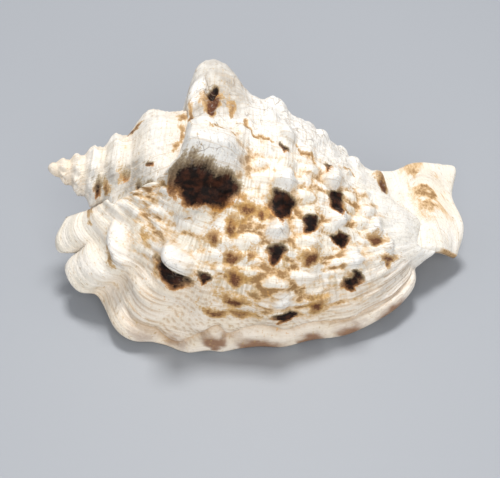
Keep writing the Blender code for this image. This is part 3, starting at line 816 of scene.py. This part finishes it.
def spire_rings():
    """Rings of the older whorls and the pillar, from the spire's tip to the front end, and their readings."""
    tip = np.linspace(0.0, 1.0, TIP_ROWS + 1)[1:] ** 2
    spire = SPIRE_END ** np.linspace(0.0, 1.0, SPIRE_ROWS)[1:]
    pillar = np.linspace(SPIRE_END, PILLAR_END, PILLAR_ROWS + 1)[1:]
    degrees = np.linspace(-180.0, 180.0, SPIRE_COLUMNS, endpoint=False)
    distance, degrees = np.meshgrid(np.concatenate([tip, spire, pillar]), degrees, indexing="ij")
    covered = smooth_curve(COVERED_FROM, degrees)
    hidden = smooth_step(distance, covered, covered + COVER_BLEND)
    whorls, part = spire_radius(distance, degrees)
    radius = whorls * (1.0 - hidden) + smooth_curve(PILLAR, distance) * hidden
    growth = np.radians(degrees) * distance * RING_GROWTH
    shown = (1.0 - hidden) * smooth_step(distance, 1.0, 8.0)
    cords = 0.07 * np.cos(2.0 * np.pi * distance / SPIRE_CORD)
    lines = 0.07 * uneven("spire lines", distance, growth)
    relief = shown * (lines + cords + 0.10 * uneven("spire grains", distance, growth))
    rings = coil_point(distance, degrees, radius + relief)
    return rings, spire_readings(distance, degrees, radius, hidden, part)


def spout_sheets():
    """Outer and inner sheet of the spout, and what its material reads."""
    net = np.array(SPOUT_LINES)
    across = hermite(np.linspace(0.0, 1.0, net.shape[0]), net, border_spacing(SPOUT_COLUMNS))
    grid = hermite(np.linspace(0.0, 1.0, net.shape[1]), across.transpose(1, 0, 2), border_spacing(SPOUT_ROWS))
    normal = grid_normals(grid)
    normal = normal * np.sign(np.sum(normal * UP, axis=-1).mean())
    inland = edge_factor(grid, SPOUT_ROUNDING)
    wall = (HALF_SPOUT * inland)[..., None]
    along = cumulative_length(grid, 0)
    cross = cumulative_length(grid, 1)
    row, column = np.meshgrid(border_spacing(SPOUT_ROWS), border_spacing(SPOUT_COLUMNS), indexing="ij")
    middle = bump((column - 0.46) / 0.30, 3.0) * bump((row - 0.66) / 0.27, 3.0)
    end_roll = smooth_step(row, 0.86, 0.93)
    under_roll = bump((column - 0.95) / 0.07, 2.0) * smooth_step(row, 0.55, 0.70)
    under_edge = smooth_step(column, 0.955, 0.985) * smooth_step(row, 0.60, 0.75)
    clouds = smooth_step(uneven("spout patches", cross, along), -0.35, 0.30)
    reads = {name: np.zeros_like(along) for name in READINGS}
    reads.update({"cord": cross, "growth": along})
    reads["tan"] = 0.12 + 0.25 * middle * (1.0 - end_roll)
    reads["chalk"] = 0.30 * (1.0 - middle) * (1.0 - end_roll) * (1.0 - under_edge)
    reads["gap"] = np.maximum(0.95 * middle * clouds * (1.0 - end_roll), 0.9 * under_edge)
    reads["woven"] = 0.5 * middle
    reads["lot"] = uneven("spout lots", cross, along, 0.5)
    relief = uneven("spout relief", cross, along) * inland * (1.0 - 0.8 * end_roll)
    relief = relief + END_ROLL * end_roll * inland
    under = wall * (1.0 + 0.9 * under_roll[..., None])
    return grid + normal * (wall + relief[..., None]), grid - normal * under, reads


# Meshes

def fill_readings(mesh, readings):
    """Stores what the material reads at each point of the mesh."""
    for name, values in readings.items():
        layer = mesh.attributes.new(name, "FLOAT", "POINT")
        layer.data.foreach_set("value", values.astype(np.float32))


def net_places(verts, rows, columns):
    """Row and column of each vertex of a flat grid that reaches from -1 to 1."""
    flat = np.array([v.co.xy for v in verts])
    column = np.rint((flat[:, 0] + 1.0) / 2.0 * (columns - 1)).astype(int)
    row = np.rint((flat[:, 1] + 1.0) / 2.0 * (rows - 1)).astype(int)
    return row, column


def finish_piece(name, work, points, readings, material):
    """Object from a bmesh whose vertices go to the points, in millimetres before the shift to the middle."""
    mesh = bpy.data.meshes.new(name)
    work.to_mesh(mesh)
    work.free()
    places = points - MIDDLE_OF_BOX
    places[:, 2] = np.maximum(places[:, 2], 0.0)
    mesh.vertices.foreach_set("co", (places * MM).astype(np.float32).ravel())
    fill_readings(mesh, readings)
    mesh.update()
    piece = bpy.data.objects.new(name, mesh)
    bpy.context.scene.collection.objects.link(piece)
    mesh.materials.append(material)
    mesh.shade_smooth()
    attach(piece, "root")
    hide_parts("shell")
    return piece


def weld(piece, reach):
    """Merges the points that lie on each other within the reach, and turns the faces outwards."""
    work = bmesh.new()
    work.from_mesh(piece.data)
    bmesh.ops.remove_doubles(work, verts=work.verts, dist=reach * MM)
    bmesh.ops.recalc_face_normals(work, faces=work.faces)
    work.to_mesh(piece.data)
    work.free()


def split_corners(work):
    """Splits the corner faces of a flat grid from the corner, so that two sheets share no diagonal."""
    for corner in [v for v in work.verts if len(v.link_faces) == 1]:
        face = corner.link_faces[0]
        far = max(face.verts, key=lambda v: (v.co - corner.co).length)
        bmesh.ops.connect_verts(work, verts=[corner, far])


def sheet_piece(name, outer, inner, reads, material):
    """Closed piece between two sheets that share their border points."""
    rows, columns = outer.shape[:2]
    work = bmesh.new()
    bmesh.ops.create_grid(work, x_segments=columns - 1, y_segments=rows - 1, size=1.0)
    split_corners(work)
    upper = len(work.verts)
    bmesh.ops.duplicate(work, geom=work.verts[:] + work.edges[:] + work.faces[:])
    row, column = net_places(work.verts, rows, columns)
    lower = np.arange(len(row)) >= upper
    points = np.where(lower[:, None], inner[row, column], outer[row, column])
    readings = {key: values[row, column] for key, values in reads.items()}
    readings["inside"] = lower.astype(float)
    piece = finish_piece(name, work, points, readings, material)
    weld(piece, SHEET_WELD)


def ring_piece(name, rings, start, end, reads, material):
    """Closed piece around rings of points, from one end point to the other, drawn out from a sphere."""
    rows, columns = rings.shape[:2]
    work = bmesh.new()
    bmesh.ops.create_uvsphere(work, u_segments=columns, v_segments=rows + 1, radius=1.0)
    ball = np.array([v.co for v in work.verts])
    ring = np.rint(np.arccos(np.clip(ball[:, 2], -1.0, 1.0)) / np.pi * (rows + 1)).astype(int) - 1
    column = np.rint(np.arctan2(ball[:, 1], ball[:, 0]) / (2.0 * np.pi) * columns).astype(int) % columns
    inside = np.clip(ring, 0, rows - 1)
    points = rings[inside, column]
    points[ring < 0] = start
    points[ring >= rows] = end
    readings = {key: values[inside, column] for key, values in reads.items()}
    readings["inside"] = np.zeros(len(points))
    piece = finish_piece(name, work, points, readings, material)
    weld(piece, RING_WELD)


# Materials

# Colours of the shell: ground, gaps and olive blocks, blotches, marks and stains, crust and glaze
CREAM = (0.85, 0.82, 0.76, 1.0)
WARM_CREAM = (0.83, 0.78, 0.68, 1.0)
TAN = (0.68, 0.49, 0.30, 1.0)
CHALK = (0.83, 0.82, 0.79, 1.0)
GREYS = ((0.40, 0.36, 0.31, 1.0), (0.64, 0.61, 0.55, 1.0))
LINE_BROWN = (0.52, 0.38, 0.23, 1.0)
THREAD_BROWN = (0.44, 0.34, 0.23, 1.0)
LAYER_BROWN = (0.42, 0.25, 0.11, 1.0)
GOLD = (0.66, 0.43, 0.20, 1.0)
GAP_BROWN = (0.25, 0.13, 0.045, 1.0)
OLIVE = (0.34, 0.25, 0.12, 1.0)
# Rosy brown of the rim's blotches, darkened with painted shade of the rim's underside
ROSY_BROWN_WITH_SHADE = (0.22, 0.10, 0.045, 1.0)
MARK_FRINGE = (0.58, 0.36, 0.13, 1.0)
MARK_BROWN = (0.33, 0.17, 0.055, 1.0)
MARK_HEART = (0.12, 0.045, 0.022, 1.0)
# At the top of a stain, where the grey-brown is painted shade under the knob's cap, and at its foot, and in
# the darker and the lighter patches of its heart
STAIN_FRINGES_WITH_SHADE = ((0.38, 0.29, 0.17, 1.0), (0.60, 0.29, 0.075, 1.0))
STAIN_BROWNS_WITH_SHADE = ((0.15, 0.10, 0.055, 1.0), (0.17, 0.07, 0.03, 1.0))
STAIN_HEARTS = ((0.008, 0.004, 0.003, 1.0), (0.055, 0.018, 0.009, 1.0))
CRUST_BROWN = (0.30, 0.22, 0.15, 1.0)
SPECK_GREY = (0.40, 0.37, 0.34, 1.0)
GLAZES = ((0.84, 0.68, 0.50, 1.0), (0.72, 0.48, 0.28, 1.0))
PALE_FLOOR = (0.34, 0.36, 0.39, 1.0)
FLOOR_ROUGHNESS = 0.6
# Strength of a stain at which each of its parts starts and is full
STAIN_EDGES = {"Dark": (0.55, 1.00), "Brown": (0.20, 0.62), "Fringe": (0.06, 0.32)}
# Noises of the worn surface: stretch across the cords and along the growth, scale per millimetre, detail
WORN_NOISES = {
    "Lines": (0.10, 2.4, 1.0, 3.0),
    "Threads": (2.2, 0.12, 1.0, 3.0),
    "Clouds": (1.0, 1.0, 0.30, 4.0),
    "Patches": (1.0, 0.8, 0.85, 3.0),
    "Grit": (1.0, 1.0, 2.6, 3.0),
}
# Fineness of the crust's cracks per millimetre, and of the specks and the grain per metre
CRUST_SCALE = 0.42
SPECK_SCALE = 1100.0
FINE_GRAIN_SCALE = 2200.0
GRAIN_SCALE = 800.0
# How strongly the grain shows, its depth in millimetres, the gloss of the surface and how rough the rim is
GRAIN_STRENGTH = 0.55
GRAIN_DEPTH = 0.28
SHELL_SPECULAR = 0.15
RIM_ROUGHNESS = 0.38


def fill_inputs(tree, made, inputs):
    """Sets a node's inputs to values or links them to sockets."""
    for key, value in inputs.items():
        if isinstance(value, bpy.types.NodeSocket):
            tree.links.new(value, made.inputs[key])
        else:
            made.inputs[key].default_value = value


def node(tree, kind, inputs=None, **settings):
    """Adds a shader node with its settings and inputs."""
    made = tree.nodes.new(kind)
    for name, value in settings.items():
        setattr(made, name, value)
    fill_inputs(tree, made, inputs or {})
    return made


def read(tree, name):
    """What the piece stores at each point under the name."""
    return node(tree, "ShaderNodeAttribute", attribute_name=name).outputs["Fac"]


def combine(tree, operation, first, second=0.0):
    """Result of a sum, product or the like of two values."""
    return node(tree, "ShaderNodeMath", {0: first, 1: second}, operation=operation).outputs[0]


def times(tree, first, second):
    """Product of two values."""
    return combine(tree, "MULTIPLY", first, second)


def plus(tree, first, second):
    """Sum of two values."""
    return combine(tree, "ADD", first, second)


def minus(tree, first, second):
    """First value less the second."""
    return combine(tree, "SUBTRACT", first, second)


def ramp(tree, value, low, high):
    """0 where the value is below low, 1 above high, with a soft ramp between. Low may lie above high."""
    inputs = {"Value": value, "From Min": low, "From Max": high}
    return node(tree, "ShaderNodeMapRange", inputs, interpolation_type="SMOOTHSTEP").outputs["Result"]


def blend(tree, share, first, second):
    """Colour between the first and the second."""
    return node(tree, "ShaderNodeMix", {0: share, 6: first, 7: second}, data_type="RGBA").outputs[2]


def cover(tree, share, strength, ground, colour):
    """Ground that the colour covers by the share, at most as strongly as the strength says."""
    return blend(tree, times(tree, share, strength), ground, colour)


def surface_place(tree, cord, growth, across=1.0, along=1.0):
    """Place on the surface, in millimetres across the cords and along the growth, stretched as asked."""
    x = times(tree, cord, across)
    y = times(tree, growth, along)
    return node(tree, "ShaderNodeCombineXYZ", {"X": x, "Y": y}).outputs[0]


def noise(tree, place, scale, detail=2.0):
    """Soft noise around 0.5."""
    inputs = {"Vector": place, "Scale": scale, "Detail": detail}
    return node(tree, "ShaderNodeTexNoise", inputs).outputs["Fac"]


def group(name, inputs, outputs):
    """Empty node group with named inputs and outputs, each a value."""
    made = bpy.data.node_groups.new(name, "ShaderNodeTree")
    for socket, value in inputs.items():
        made.interface.new_socket(socket, in_out="INPUT", socket_type="NodeSocketFloat").default_value = value
    for socket in outputs:
        made.interface.new_socket(socket, in_out="OUTPUT", socket_type="NodeSocketFloat")
    return made, node(made, "NodeGroupInput").outputs, node(made, "NodeGroupOutput").inputs


def use(tree, made, inputs):
    """Puts a node group in a material."""
    placed = tree.nodes.new("ShaderNodeGroup")
    placed.node_tree = made
    fill_inputs(tree, placed, inputs)
    return placed.outputs


def frayed_stain():
    """Stain frayed along the cords: its dark heart, the brown around it and the outermost fringe."""
    inputs = {"Field": 0.0, "Cord": 0.0, "Growth": 0.0, "Fray": 0.5}
    made, given, out = group("frayed stain", inputs, STAIN_EDGES)
    streaks = noise(made, surface_place(made, given["Cord"], given["Growth"], 1.0, 0.30), 2.2, 4.0)
    grains = noise(made, surface_place(made, given["Cord"], given["Growth"]), 3.0, 4.0)
    shift = times(made, minus(made, plus(made, streaks, grains), 1.0), given["Fray"])
    field = plus(made, given["Field"], shift)
    for name, edges in STAIN_EDGES.items():
        made.links.new(ramp(made, field, *edges), out[name])
    return made


def worn_lines():
    """Growth lines, woven cords, clouds, smaller patches and grit over the surface, each from 0 to 1."""
    made, given, out = group("worn lines", {"Cord": 0.0, "Growth": 0.0}, WORN_NOISES)
    for name, (across, along, scale, detail) in WORN_NOISES.items():
        place = surface_place(made, given["Cord"], given["Growth"], across, along)
        made.links.new(noise(made, place, scale, detail), out[name])
    return made


def ground_colour(tree, reads, worn, spot):
    """Cream, tan, chalk and grey of the shell, with its growth lines, threads and layers."""
    ground = blend(tree, ramp(tree, worn["Clouds"], 0.35, 0.65), CREAM, WARM_CREAM)
    # The tan read here holds painted shade in the valleys of the wing's folds
    ground = cover(tree, reads["tan"], 0.6, ground, TAN)
    chalky = times(tree, reads["chalk"], ramp(tree, worn["Grit"], 0.25, 0.50))
    ground = cover(tree, chalky, 0.92, ground, CHALK)
    mottle = ramp(tree, noise(tree, spot, 0.45, 5.0), 0.30, 0.70)
    ground = blend(tree, reads["grey"], ground, blend(tree, mottle, *GREYS))
    plainer = minus(tree, 1.0, times(tree, reads["smooth"], 0.5))
    lines = times(tree, ramp(tree, worn["Lines"], 0.54, 0.68), times(tree, plainer, 0.40))
    ground = blend(tree, lines, ground, LINE_BROWN)
    threads = times(tree, ramp(tree, worn["Threads"], 0.50, 0.66), reads["woven"])
    ground = cover(tree, threads, 0.35, ground, THREAD_BROWN)
    layers = times(tree, reads["layer"], ramp(tree, worn["Clouds"], 0.20, 0.55))
    return cover(tree, layers, 0.65, ground, LAYER_BROWN)


def gap_colour(tree, reads, worn, spot, patch, fray, ground):
    """Golden and brown gaps between the worn blocks, and the dull, olive blocks, over the ground."""
    worn_off = minus(tree, 1.0, times(tree, reads["chalk"], 0.8))
    gap = plus(tree, reads["gap"], plus(tree, fray, times(tree, patch, reads["woven"])))
    ground = cover(tree, times(tree, ramp(tree, gap, 0.20, 0.80), worn_off), 0.85, ground, GOLD)
    ground = cover(tree, times(tree, ramp(tree, gap, 0.60, 1.10), worn_off), 0.85, ground, GAP_BROWN)
    shown = times(tree, ramp(tree, noise(tree, spot, 0.22, 2.0), 0.36, 0.56), worn_off)
    dull = times(tree, ramp(tree, reads["lot"], 0.24, 0.06), times(tree, reads["woven"], shown))
    threads = ramp(tree, worn["Threads"], 0.38, 0.58)
    return cover(tree, times(tree, dull, threads), 0.4, ground, OLIVE)


def stain_colour(tree, reads, worn, fray, stain_group, ground):
    """Rosy blotches, brown marks and dark stains over the ground, with painted shade in the blotches' brown
    and in the stains' grey-brown tops.
    """
    # The rosy blotches' brown is partly painted shade of the rim's underside
    rosy = plus(tree, reads["blotch"], times(tree, fray, 0.3))
    ground = cover(tree, ramp(tree, rosy, 0.10, 0.9), 0.9, ground, ROSY_BROWN_WITH_SHADE)
    place = {"Cord": reads["cord"], "Growth": reads["growth"]}
    mark = use(tree, stain_group, {"Field": reads["mark"], "Fray": 0.7, **place})
    ground = cover(tree, mark["Fringe"], 0.75, ground, MARK_FRINGE)
    ground = cover(tree, mark["Brown"], 0.75, ground, MARK_BROWN)
    ground = blend(tree, mark["Dark"], ground, MARK_HEART)
    stain_and_shade = use(tree, stain_group, {"Field": reads["stain_and_shade"], "Fray": 0.60, **place})
    # A stain's top takes grey-brown painted shade from under the knob's cap; its foot takes the stain's own
    # orange and brown
    ground = cover(tree, stain_and_shade["Fringe"], 0.85, ground, blend(tree, reads["foot"], *STAIN_FRINGES_WITH_SHADE))
    ground = cover(tree, stain_and_shade["Brown"], 0.85, ground, blend(tree, reads["foot"], *STAIN_BROWNS_WITH_SHADE))
    heart = blend(tree, ramp(tree, worn["Patches"], 0.40, 0.68), *STAIN_HEARTS)
    return blend(tree, stain_and_shade["Dark"], ground, heart)


def crust_share(tree, reads, worn, patch):
    """1 in the hair cracks of the chalky crust and 0 off them."""
    warped = surface_place(tree, plus(tree, reads["cord"], times(tree, patch, 0.6)), reads["growth"])
    inputs = {"Vector": warped, "Scale": CRUST_SCALE}
    net = node(tree, "ShaderNodeTexVoronoi", inputs, feature="DISTANCE_TO_EDGE").outputs["Distance"]
    cracks = times(tree, ramp(tree, net, 0.030, 0.008), ramp(tree, worn["Clouds"], 0.46, 0.60))
    return times(tree, cracks, reads["chalk"])


def shell_material(stain_group, line_group):
    """Chalky, stained shell outside and glazed shell inside."""
    material = bpy.data.materials.new("worn_shell")
    material.use_nodes = True
    tree = material.node_tree
    surface = tree.nodes["Principled BSDF"]
    surface.inputs["Specular IOR Level"].default_value = SHELL_SPECULAR
    reads = {name: read(tree, name) for name in READINGS + ("inside",)}
    worn = use(tree, line_group, {"Cord": reads["cord"], "Growth": reads["growth"]})
    spot = surface_place(tree, reads["cord"], reads["growth"])
    objects = node(tree, "ShaderNodeTexCoord").outputs["Object"]
    fray = times(tree, minus(tree, worn["Grit"], 0.5), 0.8)
    patch = times(tree, minus(tree, worn["Patches"], 0.5), 2.4)

    colour = ground_colour(tree, reads, worn, spot)
    colour = gap_colour(tree, reads, worn, spot, patch, fray, colour)
    colour = stain_colour(tree, reads, worn, fray, stain_group, colour)
    crust = crust_share(tree, reads, worn, patch)
    colour = cover(tree, crust, 0.6, colour, CRUST_BROWN)
    specks = ramp(tree, noise(tree, objects, SPECK_SCALE, 4.0), 0.56, 0.68)
    colour = cover(tree, times(tree, specks, reads["chalk"]), 0.45, colour, SPECK_GREY)
    glaze = blend(tree, worn["Clouds"], *GLAZES)
    tree.links.new(blend(tree, reads["inside"], colour, glaze), surface.inputs["Base Color"])

    matt = times(tree, minus(tree, 1.0, reads["smooth"]), 0.25)
    roughness = minus(tree, plus(tree, matt, RIM_ROUGHNESS), times(tree, reads["inside"], 0.25))
    tree.links.new(roughness, surface.inputs["Roughness"])

    grain = plus(tree, noise(tree, objects, FINE_GRAIN_SCALE, 4.0), noise(tree, objects, GRAIN_SCALE, 3.0))
    height = plus(tree, minus(tree, grain, crust), plus(tree, worn["Lines"], worn["Threads"]))
    outer_height = times(tree, height, minus(tree, 1.0, reads["inside"]))
    inputs = {"Strength": GRAIN_STRENGTH, "Distance": GRAIN_DEPTH * MM, "Height": outer_height}
    tree.links.new(node(tree, "ShaderNodeBump", inputs).outputs[0], surface.inputs["Normal"])
    return material


def floor_material():
    """Matt pale table."""
    material = bpy.data.materials.new("pale_table")
    material.use_nodes = True
    surface = material.node_tree.nodes["Principled BSDF"]
    surface.inputs["Base Color"].default_value = PALE_FLOOR
    surface.inputs["Roughness"].default_value = FLOOR_ROUGHNESS
    return material


# The studio

# Half the floor's side and the point that the lights face, in metres, and the light from all around
FLOOR_REACH = 3.0
LIGHT_AIM = Vector((0.0, 0.0, 0.015))
PALE_SKY = (0.92, 0.94, 1.0, 1.0)
SKY_STRENGTH = 0.33
# Camera, as the photograph was taken: how far it looks down, from where and with which lens
CAMERA_ELEVATION = np.radians(40.0)
CAMERA_DISTANCE = 205.0
CAMERA_LENS = 70.0
CAMERA_AIM = np.array([0.0, -6.0, 6.0])


def add_floor():
    """Plain pale floor under the shell."""
    work = bmesh.new()
    bmesh.ops.create_grid(work, x_segments=1, y_segments=1, size=FLOOR_REACH)
    mesh = bpy.data.meshes.new("floor")
    work.to_mesh(mesh)
    work.free()
    floor = bpy.data.objects.new("floor", mesh)
    bpy.context.scene.collection.objects.link(floor)
    mesh.materials.append(floor_material())


def add_light(name, place, size, power, colour):
    """Square soft light at a place, facing the shell. Lengths are metres here."""
    lamp = bpy.data.lights.new(name, "AREA")
    lamp.size = size
    lamp.energy = power
    lamp.color = colour
    light = bpy.data.objects.new(name, lamp)
    light.location = place
    light.rotation_euler = (Vector(place) - LIGHT_AIM).to_track_quat("Z", "Y").to_euler()
    bpy.context.scene.collection.objects.link(light)


def add_world():
    """Even pale surroundings."""
    world = bpy.data.worlds.new("studio")
    world.use_nodes = True
    background = world.node_tree.nodes["Background"]
    background.inputs["Color"].default_value = PALE_SKY
    background.inputs["Strength"].default_value = SKY_STRENGTH
    bpy.context.scene.world = world


def add_camera():
    """Camera at the photograph's viewing angle."""
    lens = bpy.data.cameras.new("camera")
    lens.lens = CAMERA_LENS
    lens.sensor_width = 36.0
    lens.clip_start = 0.01
    camera = bpy.data.objects.new("camera", lens)
    back = np.array([0.0, -np.cos(CAMERA_ELEVATION), np.sin(CAMERA_ELEVATION)])
    camera.location = (CAMERA_AIM - MIDDLE_OF_BOX + back * CAMERA_DISTANCE) * MM
    camera.rotation_euler = Vector(back).to_track_quat("Z", "Y").to_euler()
    bpy.context.scene.collection.objects.link(camera)
    bpy.context.scene.camera = camera


shell_finish = shell_material(frayed_stain(), worn_lines())
sheet_piece("last_whorl", *last_whorl(), shell_finish)
spire, spire_reads = spire_rings()
ring_piece("spire", spire, APEX, APEX + AXIS_END * ALONG, spire_reads, shell_finish)
sheet_piece("spout", *spout_sheets(), shell_finish)

bpy.context.scene.view_settings.view_transform = "Standard"
add_floor()
add_world()
add_light("key", (0.0, 0.20, 0.58), 0.16, 3.2, (1.0, 0.98, 0.96))
add_light("fill", (0.06, -0.56, 0.36), 0.5, 3.3, (1.0, 0.99, 0.97))
add_camera()
